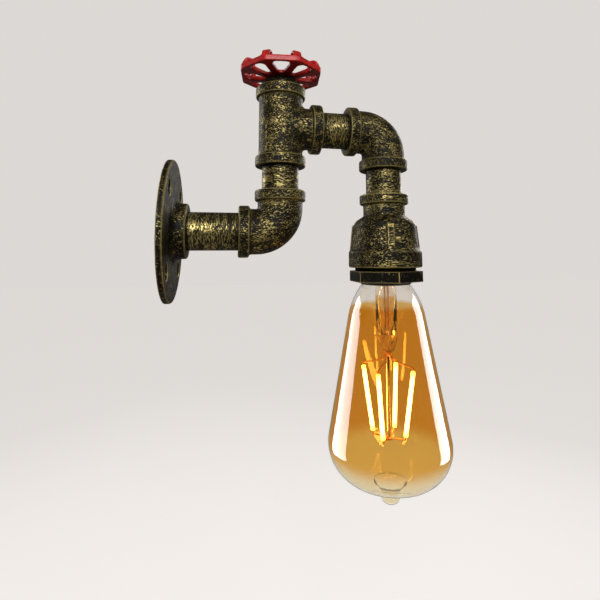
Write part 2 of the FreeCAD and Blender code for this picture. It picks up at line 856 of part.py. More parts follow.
def bulb_cap():
    thread_z = cap_bottom_z + cap_skirt_height
    root = cap_radius - cap_root
    shoulder_z = insulator_z + cap_insulator_foot
    outline = [(cap_bore, cap_bottom_z, 0), (cap_skirt_radius, cap_bottom_z, 0)]
    outline.append((cap_skirt_radius, thread_z - cap_thread_round, 0))
    for turn in range(cap_turns):
        low = thread_z + turn * cap_pitch
        outline.append((root, low, cap_thread_round))
        outline.append((cap_radius, low + cap_pitch / 2, cap_thread_round))
    outline += [
        (root, thread_z + cap_turns * cap_pitch, cap_thread_round),
        (root, shoulder_z - cap_insulator_flange, 0),
        (cap_insulator_radius + cap_wall, shoulder_z + cap_wall, 0),
        (cap_insulator_radius + slip_fit, shoulder_z + cap_wall, 0),
        (cap_insulator_radius + slip_fit, shoulder_z, 0),
        (cap_bore, shoulder_z - cap_insulator_flange, 0),
    ]
    return moved(turned(outline), drop_x, 0, 0)


def cap_insulator():
    top = cap_top_z - cap_contact_height - seat_gap
    foot = insulator_z + cap_insulator_foot - slip_fit
    body = turned([
        (0, insulator_z - cap_insulator_flange, 0),
        (cap_insulator_radius, insulator_z - cap_insulator_flange, 0),
        (cap_insulator_radius, foot + cap_wall, 0),
        (cap_contact_radius + cap_contact_edge, top, 0),
        (0, top, 0),
    ])
    return moved(body, drop_x, 0, 0)


def cap_contact():
    low = cap_top_z - cap_contact_height
    body = turned([
        (0, low, 0),
        (cap_contact_radius, low, 0),
        (cap_contact_radius, cap_top_z, cap_contact_edge),
        (0, cap_top_z, 0),
    ])
    return moved(body, drop_x, 0, 0)


def driver_board():
    low = neck_top_z + seat_gap
    high = insulator_z - cap_insulator_flange - seat_gap
    board = Part.makeBox(board_thickness, board_width, high - low,
                         v(-board_thickness / 2, -board_width / 2, low))
    return moved(board, drop_x, 0, 0)


# ---- bulb: glass ----

def bulb_glass():
    # teardrop: neck, rounded shoulder, cone, round belly and a flatter bottom with its sealed tip
    angle = math.radians(cone_angle)
    belly = v(belly_radius - belly_arc, 0, belly_z)
    rise = math.sqrt((bottom_arc - belly_arc) ** 2 - belly.x ** 2)
    centre = v(0, 0, belly_z + rise)
    sink = math.atan2(belly.x, rise)
    cone_foot = belly + v(math.cos(angle), 0, math.sin(angle)) * belly_arc
    shoulder_z = rim_z - shoulder_drop
    shoulder = v(cone_foot.x - (shoulder_z - cone_foot.z) * math.tan(angle), 0, shoulder_z)
    join = centre + v(math.sin(sink), 0, -math.cos(sink)) * bottom_arc
    bottom = centre - Z * bottom_arc
    belly_side = belly + v(math.cos(sink / 2), 0, -math.sin(sink / 2)) * belly_arc
    bottom_side = centre + v(math.sin(sink / 2), 0, -math.cos(sink / 2)) * bottom_arc
    neck_top = v(neck_radius, 0, neck_top_z)
    points = [neck_top, v(neck_radius, 0, neck_foot_z), v(mouth_radius, 0, rim_z), shoulder, cone_foot]
    edges = path(points, [neck_foot_round, mouth_round, glass_shoulder_round])
    edges.append(Part.Arc(cone_foot, belly_side, join).toShape())
    edges.append(Part.Arc(join, bottom_side, bottom).toShape())
    edges.append(Part.LineSegment(bottom, v(0, 0, neck_top_z)).toShape())
    edges.append(Part.LineSegment(v(0, 0, neck_top_z), neck_top).toShape())
    body = Part.Face(Part.Wire(edges)).revolve(v(0, 0, 0), Z, 360)
    mouth = [f for f in body.Faces if f.CenterOfMass.z > neck_top_z - seat_gap]
    body = body.makeThickness(mouth, -glass_wall, 1e-3)
    flare_z = centre.z - math.sqrt(bottom_arc ** 2 - tip_flare_radius ** 2) + glass_wall / 2
    tip = turned([
        (0, bottom.z + glass_wall / 2, 0),
        (tip_flare_radius, flare_z, 0),
        (tip_top_radius, bottom.z - tip_root, tip_round),
        (tip_end_radius, bottom.z - tip_length, tip_round),
        (0, bottom.z - tip_length, 0),
    ])
    return moved(body.fuse(tip), drop_x, 0, 0)


def inlead_places(low, high, radius):
    return [moved(rod(radius, low, high), 0, side * inlead_spacing, 0) for side in (-1, 1)]


def glass_stem():
    # tube flared out to the neck, its end pressed flat round the lead-in wires
    inner = stem_radius - stem_wall
    rim = neck_radius - glass_wall - seat_gap
    flare_z = neck_top_z - stem_flare_height
    press_z = stem_end_z + press_length
    body = turned([
        (inner, press_z, 0),
        (stem_radius, press_z, 0),
        (stem_radius, flare_z, stem_flare_height / 2),
        (rim, neck_top_z - stem_wall, 0),
        (rim, neck_top_z, 0),
        (inner, flare_z + stem_wall, stem_flare_height / 2),
    ])
    wedge = Part.Face(Part.makePolygon([
        v(-press_thickness / 2, 0, stem_end_z),
        v(press_thickness / 2, 0, stem_end_z),
        v(stem_radius, 0, press_z),
        v(-stem_radius, 0, press_z),
        v(-press_thickness / 2, 0, stem_end_z),
    ])).extrude(v(0, 4 * stem_radius, 0))
    press = rod(stem_radius, stem_end_z, press_z).common(moved(wedge, 0, -2 * stem_radius, 0))
    holes = inlead_places(stem_end_z - 1, press_z + 1, inlead_radius + seat_gap)
    return moved(body.fuse(press).cut(holes), drop_x, 0, 0)


def exhaust_tube():
    low = stem_end_z + press_length + seat_gap
    tube = rod(exhaust_radius, low, neck_top_z)
    return moved(tube.cut(rod(exhaust_radius - exhaust_wall, low - 1, neck_top_z + 1)), drop_x, 0, 0)


def lead_in_wires():
    wires = inlead_places(stem_end_z - seat_gap, neck_top_z, inlead_radius)
    return moved(Part.makeCompound(wires), drop_x, 0, 0)


def wire_crimp():
    half = crimp_length / 2
    side = press_thickness / 2
    top = stem_end_z - 2 * seat_gap
    body = prism([
        (-side, -half, crimp_edge),
        (side, -half, crimp_edge),
        (side, half, crimp_edge),
        (-side, half, crimp_edge),
    ], top - crimp_height, top)
    return moved(body, drop_x, 0, 0)


# ---- bulb: filaments ----

def filament_line():
    # ends of the first filament and the way it points, at its own angle round the axis
    top = at_angle(filament_top_reach, filament_phase, filament_top_z)
    bottom = at_angle(filament_bottom_reach, filament_phase, filament_bottom_z)
    return top, bottom, (top - bottom).normalize()


def filaments():
    top, bottom, way = filament_line()
    stick = bar(bottom, top, filament_radius)
    return moved(Part.makeCompound(around_z(stick, filament_count)), drop_x, 0, 0)


def support_wires():
    # from the crimp's underside out to the filaments' upper ends
    top, bottom, way = filament_line()
    low = stem_end_z - 3 * seat_gap - crimp_height
    root = at_angle(support_root, filament_phase, low)
    elbow_point = at_angle(support_root, filament_phase, low - 2 * support_bend)
    points = [root, elbow_point, top + way * filament_tail, top + way * seat_gap]
    wire, length = wire_along(points, [support_bend, support_bend / 2], support_radius)
    return moved(Part.makeCompound(around_z(wire, filament_count)), drop_x, 0, 0)


def filament_joint():
    # bead that gathers the wires from the filaments' lower ends
    top, bottom, way = filament_line()
    bead = rod(joint_radius, joint_z - joint_height / 2, joint_z + joint_height / 2)
    points = [bottom - way * seat_gap, bottom - way * filament_tail, v(0, 0, joint_z)]
    wire, length = wire_along(points, [support_bend / 2], support_radius)
    return moved(bead.fuse(around_z(wire, filament_count)), drop_x, 0, 0)


def centre_rod():
    high = stem_end_z - 3 * seat_gap - crimp_height
    return moved(rod(rod_radius, joint_z + joint_height / 2 + seat_gap, high), drop_x, 0, 0)


pieces = [
    wall_flange, wall_nipple, lower_elbow, riser_nipple, tee, arm_nipple, upper_elbow, drop_nipple,
    reducing_socket, hex_bushing, lampholder_body, lampholder_shell, centre_contact, contact_rivet,
    shell_rivet, live_terminal, neutral_terminal, terminal_screws, earth_tag, live_lead, neutral_lead,
    earth_lead, top_plug, wheel_spindle, spindle_clip, handwheel, wheel_washer, wheel_nut, bulb_cap,
    cap_insulator, cap_contact, driver_board, bulb_glass, glass_stem, exhaust_tube, lead_in_wires,
    wire_crimp, support_wires, filaments, filament_joint, centre_rod,
]
for piece in pieces:
    save(piece(), piece.__name__)
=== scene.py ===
import bpy
import json
import math
from mathutils import Matrix, Vector

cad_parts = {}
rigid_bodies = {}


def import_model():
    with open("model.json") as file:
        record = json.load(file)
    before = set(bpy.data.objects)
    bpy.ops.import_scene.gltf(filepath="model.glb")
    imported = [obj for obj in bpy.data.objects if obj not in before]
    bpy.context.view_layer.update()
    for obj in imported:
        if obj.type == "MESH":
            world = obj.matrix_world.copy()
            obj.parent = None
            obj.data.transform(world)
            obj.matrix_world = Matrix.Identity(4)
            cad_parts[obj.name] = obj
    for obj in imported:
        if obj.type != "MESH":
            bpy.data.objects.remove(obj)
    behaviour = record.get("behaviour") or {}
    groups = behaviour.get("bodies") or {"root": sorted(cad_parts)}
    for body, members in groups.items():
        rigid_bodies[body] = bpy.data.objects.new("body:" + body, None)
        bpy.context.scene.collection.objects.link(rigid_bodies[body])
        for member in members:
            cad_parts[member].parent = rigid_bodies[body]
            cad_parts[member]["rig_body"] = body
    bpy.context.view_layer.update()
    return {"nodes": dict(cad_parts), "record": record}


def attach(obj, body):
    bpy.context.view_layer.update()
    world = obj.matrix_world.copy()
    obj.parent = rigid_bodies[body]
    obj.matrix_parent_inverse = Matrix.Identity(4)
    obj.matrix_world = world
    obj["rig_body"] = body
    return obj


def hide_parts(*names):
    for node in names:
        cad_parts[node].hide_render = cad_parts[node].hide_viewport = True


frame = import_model()
scene = bpy.context.scene
nodes = frame["nodes"]
slotOf = {row["node"]: row["material_slot"] for row in frame["record"]["subparts"]}
print("frame loaded,", len(nodes), "nodes")

camera = {
    "focalPixels": 416.18, "imageSize": 600,
    "centre": (320.0, 207.21),  # principal point, pixels from the top left
    "place": (0.03676, -0.23926, -0.01377),
    "yaw": 0.19782, "pitch": 0.11614, "roll": 0.005056,
    "sensor": 36.0, "nearest": 0.005, "farthest": 30.0,
}


def makeCamera():
    size = camera["imageSize"]
    data = bpy.data.cameras.new("photoCamera")
    data.sensor_width = camera["sensor"]
    data.lens = camera["focalPixels"] / size * camera["sensor"]
    data.shift_x = (size / 2 - camera["centre"][0]) / size
    data.shift_y = (camera["centre"][1] - size / 2) / size
    data.clip_start = camera["nearest"]
    data.clip_end = camera["farthest"]
    holder = bpy.data.objects.new("photoCamera", data)
    scene.collection.objects.link(holder)
    turn = Matrix.Rotation(-camera["yaw"], 3, "Z")
    turn = turn @ Matrix.Rotation(math.pi / 2 + camera["pitch"], 3, "X")
    turn = turn @ Matrix.Rotation(-camera["roll"], 3, "Z")
    holder.matrix_world = Matrix.Translation(camera["place"]) @ turn.to_4x4()
    scene.camera = holder


makeCamera()
scene.view_settings.view_transform = "Standard"
print("camera placed")

mergeDistance = 1e-6


def pick(piece):
    # only this piece selected and active
    bpy.ops.object.select_all(action="DESELECT")
    piece.select_set(True)
    bpy.context.view_layer.objects.active = piece


def editAll(piece):
    pick(piece)
    bpy.ops.object.mode_set(mode="EDIT")
    bpy.ops.mesh.select_mode(type="VERT")
    bpy.ops.mesh.select_all(action="SELECT")


def endEdit():
    bpy.ops.object.mode_set(mode="OBJECT")


def applyModifier(piece, kind, **settings):
    pick(piece)
    modifier = piece.modifiers.new(kind.lower(), kind)
    for label, value in settings.items():
        setattr(modifier, label, value)
    bpy.ops.object.modifier_apply(modifier=modifier.name)


def smoothByAngle(piece, degrees):
    pick(piece)
    bpy.ops.object.shade_smooth_by_angle(angle=math.radians(degrees))


def dressedCopy(node, name):
    # a merged copy of a CAD node's mesh, which then stands for the node
    piece = bpy.data.objects.new(name, nodes[node].data.copy())
    scene.collection.objects.link(piece)
    editAll(piece)
    bpy.ops.mesh.remove_doubles(threshold=mergeDistance)
    endEdit()
    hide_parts(node)
    return piece


def outlineStart(name, place):
    # a plane merged to one point, from which an outline is extruded
    bpy.ops.object.select_all(action="DESELECT")
    bpy.ops.mesh.primitive_plane_add(size=mergeDistance, location=place)
    piece = bpy.context.object
    piece.name = name
    bpy.ops.object.transform_apply(location=True, rotation=True, scale=True)
    editAll(piece)
    bpy.ops.mesh.merge(type="CENTER")
    return piece


def spunPiece(name, outline, axisPlace, steps):
    # (radius, height) outline turned round a vertical axis
    piece = outlineStart(name, (axisPlace[0] + outline[0][0], axisPlace[1], outline[0][1]))
    for before, after in zip(outline, outline[1:]):
        step = (after[0] - before[0], 0, after[1] - before[1])
        bpy.ops.mesh.extrude_region_move(TRANSFORM_OT_translate={"value": step})
    bpy.ops.mesh.select_all(action="SELECT")
    bpy.ops.mesh.spin(steps=steps, angle=2 * math.pi, center=(axisPlace[0], axisPlace[1], 0),
                      axis=(0, 0, 1))
    bpy.ops.mesh.select_all(action="SELECT")
    bpy.ops.mesh.remove_doubles(threshold=mergeDistance)
    bpy.ops.mesh.normals_make_consistent(inside=False)
    endEdit()
    return piece


def arcRun(centre, radius, start, end, steps):
    # points of an arc in the outline's plane, angles in degrees from outwards towards up
    angles = [math.radians(start + (end - start) * i / steps) for i in range(steps + 1)]
    return [(centre[0] + radius * math.cos(a), centre[1] + radius * math.sin(a)) for a in angles]


def roundedRun(points, radii, steps):
    # straight runs joined by tangent arcs, one radius for each inner point
    run = [tuple(points[0])]
    for i, radius in enumerate(radii):
        corner = Vector(points[i + 1])
        back = (Vector(points[i]) - corner).normalized()
        onward = (Vector(points[i + 2]) - corner).normalized()
        half = back.angle(onward) / 2
        middle = corner + (back + onward).normalized() * (radius / math.sin(half))
        first = corner + back * (radius / math.tan(half)) - middle
        last = corner + onward * (radius / math.tan(half)) - middle
        for step in range(steps + 1):
            spoke = first.slerp(last, step / steps)
            run.append(tuple(middle + spoke.normalized() * radius))
    run.append(tuple(points[-1]))
    return run


def addNode(tree, kind, settings=None, **inputs):
    # inputs are given by name, or by number as i0, i1 and so on
    node = tree.nodes.new(kind)
    for label, value in (settings or {}).items():
        setattr(node, label, value)
    for label, value in inputs.items():
        numbered = label[0] == "i" and label[1:].isdigit()
        socket = node.inputs[int(label[1:])] if numbered else node.inputs[label]
        if isinstance(value, bpy.types.NodeSocket):
            tree.links.new(value, socket)
        else:
            socket.default_value = value
    return node


def maths(tree, operation, first, second=0.5, third=0.5):
    return addNode(tree, "ShaderNodeMath", {"operation": operation},
                   i0=first, i1=second, i2=third).outputs[0]


def mixColour(tree, share, first, second):
    return addNode(tree, "ShaderNodeMix", {"data_type": "RGBA"},
                   i0=share, i6=first, i7=second).outputs[2]


def ramp(tree, value, low, high):
    # 0 below low, 1 above high, smooth between
    return addNode(tree, "ShaderNodeMapRange", {"interpolation_type": "SMOOTHSTEP"},
                   i0=value, i1=low, i2=high, i3=0.0, i4=1.0).outputs[0]


def spread(tree, value, low, high):
    # low where value is 0, high where it is 1
    return addNode(tree, "ShaderNodeMapRange", None,
                   i0=value, i1=0.0, i2=1.0, i3=low, i4=high).outputs[0]


def noise(tree, vector, scale, detail=4.0, roughness=0.55):
    return addNode(tree, "ShaderNodeTexNoise", None, Vector=vector, Scale=scale, Detail=detail,
                   Roughness=roughness).outputs[0]


def bump(tree, height, strength, distance):
    return addNode(tree, "ShaderNodeBump", None, Height=height, Strength=strength,
                   Distance=distance).outputs[0]


def heightOf(tree, place):
    return addNode(tree, "ShaderNodeSeparateXYZ", None, Vector=place).outputs["Z"]


def newGroup(name, inputs, outputs):
    # shader group with a vector input for places, float inputs and float outputs
    group = bpy.data.node_groups.new(name, "ShaderNodeTree")
    group.interface.new_socket("Place", in_out="INPUT", socket_type="NodeSocketVector")
    for label, value in inputs.items():
        socket = group.interface.new_socket(label, in_out="INPUT", socket_type="NodeSocketFloat")
        socket.default_value = value
    for label in outputs:
        group.interface.new_socket(label, in_out="OUTPUT", socket_type="NodeSocketFloat")
    given = group.nodes.new("NodeGroupInput").outputs
    out = group.nodes.new("NodeGroupOutput").inputs
    return group, given, out


def placeGroup(tree, group, **inputs):
    node = tree.nodes.new("ShaderNodeGroup")
    node.node_tree = group
    for label, value in inputs.items():
        if isinstance(value, bpy.types.NodeSocket):
            tree.links.new(value, node.inputs[label])
        else:
            node.inputs[label].default_value = value
    return node.outputs


def newMaterial(name, **constants):
    material = bpy.data.materials.new(name)
    material.use_nodes = True
    tree = material.node_tree
    shader = tree.nodes["Principled BSDF"]
    for label, value in constants.items():
        shader.inputs[label.replace("_", " ")].default_value = value
    place = addNode(tree, "ShaderNodeTexCoord").outputs["Object"]
    return material, tree, shader, place


flecks = {
    "fineDetail": 3.0, "fineRoughness": 0.55, "patchScale": 0.11, "patchDetail": 3.0,
    "patchRoughness": 0.6, "patchWeight": 0.5,
    "level": 0.99, "levelDrop": -0.5,  # noise that bares the metal at no coverage, and its change
}


def makeRubbedFlecks():
    # flecks of metal rubbed through a dark coat, gathered in patches
    group, given, out = newGroup("rubbedFlecks", {"Scale": 1500.0, "Coverage": 0.5, "Softness": 0.05},
                                 ["Mask"])
    fine = noise(group, given["Place"], given["Scale"], flecks["fineDetail"], flecks["fineRoughness"])
    patchScale = maths(group, "MULTIPLY", given["Scale"], flecks["patchScale"])
    patches = noise(group, given["Place"], patchScale, flecks["patchDetail"], flecks["patchRoughness"])
    level = maths(group, "MULTIPLY_ADD", patches, flecks["patchWeight"], fine)
    edge = maths(group, "MULTIPLY_ADD", given["Coverage"], flecks["levelDrop"], flecks["level"])
    low = maths(group, "SUBTRACT", edge, given["Softness"])
    high = maths(group, "ADD", edge, given["Softness"])
    group.links.new(ramp(group, level, low, high), out["Mask"])
    return group


castSurface = {"pebbleDetail": 5.0, "pebbleRoughness": 0.6, "lumpScale": 240.0, "lumpDetail": 2.0}


def makeCastSkin():
    # pebbled, slightly lumpy skin of a sand casting
    group, given, out = newGroup("castSkin", {"Grain": 1600.0, "Lumps": 0.5}, ["Height"])
    pebbles = noise(group, given["Place"], given["Grain"], castSurface["pebbleDetail"],
                    castSurface["pebbleRoughness"])
    lumps = noise(group, given["Place"], castSurface["lumpScale"], castSurface["lumpDetail"])
    group.links.new(maths(group, "MULTIPLY_ADD", lumps, given["Lumps"], pebbles), out["Height"])
    return group


edges = {
    "samples": 4, "flat": 0.513, "sharpness": 2.2,  # pointiness that counts as flat, and its weight
    "breakScale": 900.0, "breakDetail": 4.0, "breakRoughness": 0.7, "breakWeight": 1.6,
    "breakLow": -0.1, "start": 0.005, "full": 0.06,
}


def makeEdgeWear():
    # mask of the edges: how far a rounded normal leaves the face's own, and pointiness
    group, given, out = newGroup("edgeWear", {"Width": 0.0010, "Amount": 1.0, "Pointed": 0.0}, ["Mask"])
    rounded = addNode(group, "ShaderNodeBevel", {"samples": edges["samples"]},
                      Radius=given["Width"]).outputs[0]
    geometry = addNode(group, "ShaderNodeNewGeometry").outputs
    facing = addNode(group, "ShaderNodeVectorMath", {"operation": "DOT_PRODUCT"},
                     i0=rounded, i1=geometry["Normal"]).outputs["Value"]
    turned = maths(group, "SUBTRACT", 1.0, facing)
    raised = maths(group, "SUBTRACT", geometry["Pointiness"], edges["flat"])
    sharp = maths(group, "MULTIPLY", raised, edges["sharpness"])  # for dense meshes only
    turned = maths(group, "MAXIMUM", turned, maths(group, "MULTIPLY", sharp, given["Pointed"]))
    broken = noise(group, given["Place"], edges["breakScale"], edges["breakDetail"],
                   edges["breakRoughness"])
    uneven = maths(group, "MULTIPLY_ADD", broken, edges["breakWeight"], edges["breakLow"])
    level = maths(group, "MULTIPLY", turned, uneven)
    level = maths(group, "MULTIPLY", level, given["Amount"])
    group.links.new(ramp(group, level, edges["start"], edges["full"]), out["Mask"])
    return group


# ambient occlusion that darkens joints and corners: the dark coat left there, and painted shade
joints = {
    "samples": 6, "breakScale": 1200.0, "breakDetail": 3.0, "breakWeight": 0.5,
    "closed": 0.45, "open": 0.9,
}


def makeJointCoatAndShade():
    # 1 in the open, 0 down in joints and corners, where the dark coat stays and where painted shade
    # from ambient occlusion falls
    group, given, out = newGroup("jointCoatAndShade", {"Reach": 0.003}, ["Open"])
    shade = addNode(group, "ShaderNodeAmbientOcclusion", {"samples": joints["samples"]},
                    Distance=given["Reach"]).outputs["AO"]
    broken = noise(group, given["Place"], joints["breakScale"], joints["breakDetail"])
    uneven = maths(group, "SUBTRACT", broken, 0.5)
    level = maths(group, "MULTIPLY_ADD", uneven, joints["breakWeight"], shade)
    group.links.new(ramp(group, level, joints["closed"], joints["open"]), out["Open"])
    return group


rubbedFlecks = makeRubbedFlecks()
castSkin = makeCastSkin()
edgeWear = makeEdgeWear()
jointCoatAndShade = makeJointCoatAndShade()

brass = {
    "dark": (0.0026, 0.0020, 0.0010, 1), "olive": (0.025, 0.0195, 0.0062, 1),
    "gold": (0.41, 0.325, 0.115, 1), "darkRoughness": 0.5, "goldRoughness": 0.38, "gloss": 0.1,
    "fleckScale": 1900.0, "hazeScale": 1140.0, "hazeSoftness": 0.14, "hazeShine": 0.5,
    "grain": 1500.0, "goldHeight": 0.3, "bumpStrength": 0.8,
}
strokes = {  # turn and stretch of each layer of flecks
    "diagonal": [((0.4, 0.7, 0.75), (0.30, 1.0, 1.0)), ((-0.5, -0.6, -0.8), (0.5, 1.0, 1.0))],
    "long": [((0.2, 0.8, 0.2), (0.12, 0.9, 0.9)), ((0.3, 0.6, 0.4), (0.2, 1.0, 1.0))],
    "roundUpright": [((0, 0, 0), (0.2, 0.2, 1.1)), ((0.1, 0.1, 0), (0.4, 0.4, 1.3))],
    "roundLevel": [((0, 0, 0), (1.1, 0.2, 0.2)), ((0, 0.1, 0.1), (1.3, 0.4, 0.4))],
}


def agedBrass(name, way, coverage, wear, bumpHeight, haze=1.0, pointed=1.0):
    # black coat with brass rubbed through it in strokes, bright on edges, and black in the joints from
    # the coat left there and from painted shade
    material, tree, shader, place = newMaterial(name, Specular_IOR_Level=brass["gloss"])
    layers = []
    for turn, stretch in strokes[way]:
        stroked = addNode(tree, "ShaderNodeMapping", None, Vector=place, Rotation=turn,
                          Scale=stretch).outputs[0]
        crisp = placeGroup(tree, rubbedFlecks, Place=stroked, Scale=brass["fleckScale"],
                           Coverage=coverage)["Mask"]
        soft = placeGroup(tree, rubbedFlecks, Place=stroked, Scale=brass["hazeScale"],
                          Coverage=coverage, Softness=brass["hazeSoftness"])["Mask"]
        layers.append((crisp, soft))
    gold, olive = (maths(tree, "MAXIMUM", *pair) for pair in zip(*layers))
    worn = placeGroup(tree, edgeWear, Place=place, Amount=wear, Pointed=pointed)["Mask"]
    # painted shade: ambient occlusion fades the olive and the gold into the dark coat in joints and
    # corners, along with the coat that stays there
    openness = placeGroup(tree, jointCoatAndShade, Place=place)["Open"]
    olive = maths(tree, "MULTIPLY", olive, openness)
    gold = maths(tree, "MULTIPLY", maths(tree, "MAXIMUM", gold, worn), openness)
    base = mixColour(tree, maths(tree, "MULTIPLY", olive, haze), brass["dark"], brass["olive"])
    tree.links.new(mixColour(tree, gold, base, brass["gold"]), shader.inputs["Base Color"])
    shine = maths(tree, "MAXIMUM", gold, maths(tree, "MULTIPLY", olive, brass["hazeShine"]))
    tree.links.new(shine, shader.inputs["Metallic"])
    roughness = spread(tree, gold, brass["darkRoughness"], brass["goldRoughness"])
    tree.links.new(roughness, shader.inputs["Roughness"])
    skin = placeGroup(tree, castSkin, Place=place, Grain=brass["grain"])["Height"]
    height = maths(tree, "MULTIPLY_ADD", gold, brass["goldHeight"], skin)
    tree.links.new(bump(tree, height, brass["bumpStrength"], bumpHeight), shader.inputs["Normal"])
    return material


bareMetal = {
    "tarnishFrom": 0.4, "tarnishTo": 0.7, "scratchStretch": (6000, 6000, 400), "scratchDetail": 3.0,
    "scratchRoughness": 0.25, "bumpStrength": 0.2, "bumpHeight": 0.00002,
}


def plainMetal(name, colour, darker, roughness, scale):
    # bare metal with fine scratches and a slight tarnish in patches
    material, tree, shader, place = newMaterial(name, Metallic=1.0)
    patches = ramp(tree, noise(tree, place, scale), bareMetal["tarnishFrom"], bareMetal["tarnishTo"])
    tree.links.new(mixColour(tree, patches, colour, darker), shader.inputs["Base Color"])
    lines = addNode(tree, "ShaderNodeMapping", None, Vector=place,
                    Scale=bareMetal["scratchStretch"]).outputs[0]
    fine = noise(tree, lines, 1.0, bareMetal["scratchDetail"])
    level = maths(tree, "MULTIPLY_ADD", fine, bareMetal["scratchRoughness"], roughness)
    tree.links.new(level, shader.inputs["Roughness"])
    tree.links.new(bump(tree, fine, bareMetal["bumpStrength"], bareMetal["bumpHeight"]),
                   shader.inputs["Normal"])
    return material


enamel = {
    # the lighter red for the sharpest edges is partly worn thin paint and partly a painted edge
    # highlight
    "red": (0.42, 0.010, 0.006, 1), "deep": (0.26, 0.006, 0.004, 1), "wornEdgeAndHighlight": (0.55, 0.03, 0.015, 1),
    "cloudScale": 350.0, "cloudDetail": 3.0, "deepFrom": 0.35, "deepTo": 0.7,
    "coat": 0.08, "coatRoughness": 0.2, "gloss": 0.3, "roughness": 0.3, "roughnessSpread": 0.2,
    "wear": 0.2, "wornEdgeAndHighlightWidth": 0.0004, "grain": 900.0, "lumps": 1.2,
    "bumpStrength": 0.5, "bumpHeight": 0.00018,
}


def redEnamel():
    # glossy paint over a casting, brighter red on the sharpest edges: paint worn thin there, and a
    # painted edge highlight
    material, tree, shader, place = newMaterial("redEnamel", Coat_Weight=enamel["coat"],
                                                Coat_Roughness=enamel["coatRoughness"],
                                                Specular_IOR_Level=enamel["gloss"])
    cloud = noise(tree, place, enamel["cloudScale"], enamel["cloudDetail"])
    paint = mixColour(tree, ramp(tree, cloud, enamel["deepFrom"], enamel["deepTo"]),
                      enamel["red"], enamel["deep"])
    # brighter red on the sharpest edges: partly worn thin paint, partly a painted highlight
    wornEdgesAndHighlight = placeGroup(tree, edgeWear, Place=place, Amount=enamel["wear"],
                       Width=enamel["wornEdgeAndHighlightWidth"])["Mask"]
    tree.links.new(mixColour(tree, wornEdgesAndHighlight, paint, enamel["wornEdgeAndHighlight"]), shader.inputs["Base Color"])
    level = maths(tree, "MULTIPLY_ADD", cloud, enamel["roughnessSpread"], enamel["roughness"])
    tree.links.new(level, shader.inputs["Roughness"])
    skin = placeGroup(tree, castSkin, Place=place, Grain=enamel["grain"],
                      Lumps=enamel["lumps"])["Height"]
    tree.links.new(bump(tree, skin, enamel["bumpStrength"], enamel["bumpHeight"]),
                   shader.inputs["Normal"])
    return material


mouldedSurface = {
    "mottleFrom": 0.35, "mottleTo": 0.65, "roughnessSpread": 0.2,
    "bumpStrength": 0.3, "bumpHeight": 0.00004,
}


def moulded(name, colour, second, roughness, grain):
    # plastic, ceramic or board: slight mottling and a fine skin
    material, tree, shader, place = newMaterial(name)
    mottle = noise(tree, place, grain)
    patches = ramp(tree, mottle, mouldedSurface["mottleFrom"], mouldedSurface["mottleTo"])
    tree.links.new(mixColour(tree, patches, colour, second), shader.inputs["Base Color"])
    level = maths(tree, "MULTIPLY_ADD", mottle, mouldedSurface["roughnessSpread"], roughness)
    tree.links.new(level, shader.inputs["Roughness"])
    tree.links.new(bump(tree, mottle, mouldedSurface["bumpStrength"], mouldedSurface["bumpHeight"]),
                   shader.inputs["Normal"])
    return material


glass = {
    "clear": (0.94, 0.93, 0.90, 1), "amber": (0.80, 0.48, 0.11, 1), "cream": (0.93, 0.86, 0.68, 1),
    "coatTop": -0.0405, "coatFull": -0.0445, "coatThin": -0.119, "coatEnd": -0.130,  # heights
    "driftScale": 60.0, "drift": 0.002, "index": 1.45,
    "rippleScale": 45.0, "rippleStrength": 0.12, "rippleHeight": 0.0005,
}


def amberGlass():
    # clear at the neck, amber coat down to the belly, thinner towards the tip
    material, tree, shader, place = newMaterial("amberGlass", Transmission_Weight=1.0,
                                                IOR=glass["index"], Roughness=0.0)
    height = heightOf(tree, place)
    wave = maths(tree, "SUBTRACT", noise(tree, place, glass["driftScale"], 2.0), 0.5)
    drift = maths(tree, "MULTIPLY_ADD", wave, glass["drift"], height)
    coated = maths(tree, "SUBTRACT", 1.0, ramp(tree, drift, glass["coatFull"], glass["coatTop"]))
    thin = maths(tree, "SUBTRACT", 1.0, ramp(tree, drift, glass["coatEnd"], glass["coatThin"]))
    upper = mixColour(tree, coated, glass["clear"], glass["amber"])
    tree.links.new(mixColour(tree, thin, upper, glass["cream"]), shader.inputs["Base Color"])
    ripple = noise(tree, place, glass["rippleScale"], 2.0)
    tree.links.new(bump(tree, ripple, glass["rippleStrength"], glass["rippleHeight"]),
                   shader.inputs["Normal"])
    return material


stemGlass = {
    "pale": (0.97, 0.92, 0.86, 1), "warm": (0.92, 0.84, 0.74, 1), "index": 1.25,
    "streakScale": 300.0, "bumpStrength": 0.2, "bumpHeight": 0.0003,
}


def clearGlass():
    material, tree, shader, place = newMaterial("clearGlass", Transmission_Weight=1.0,
                                                IOR=stemGlass["index"], Roughness=0.0)
    streaks = noise(tree, place, stemGlass["streakScale"], 2.0)
    tree.links.new(mixColour(tree, streaks, stemGlass["pale"], stemGlass["warm"]),
                   shader.inputs["Base Color"])
    tree.links.new(bump(tree, streaks, stemGlass["bumpStrength"], stemGlass["bumpHeight"]),
                   shader.inputs["Normal"])
    return material


filament = {
    "count": 4, "phase": 50.0, "radius": 0.00115, "topReach": 0.0152, "topHeight": -0.079,
    "bottomReach": 0.0098, "bottomHeight": -0.115, "sides": 16, "endRound": 0.0006,
    "endSegments": 3, "smoothing": 50,
    "hot": (1.0, 0.82, 0.52, 1), "warm": (1.0, 0.60, 0.16, 1), "body": (0.95, 0.72, 0.3, 1),
    "glow": 20.0, "warmEnd": 0.005, "beadScale": 1400.0, "beadFrom": 0.35, "beadTo": 0.8,
    "beadWarmth": 0.35, "roughness": 0.5, "bumpStrength": 0.3, "bumpHeight": 0.0001,
}


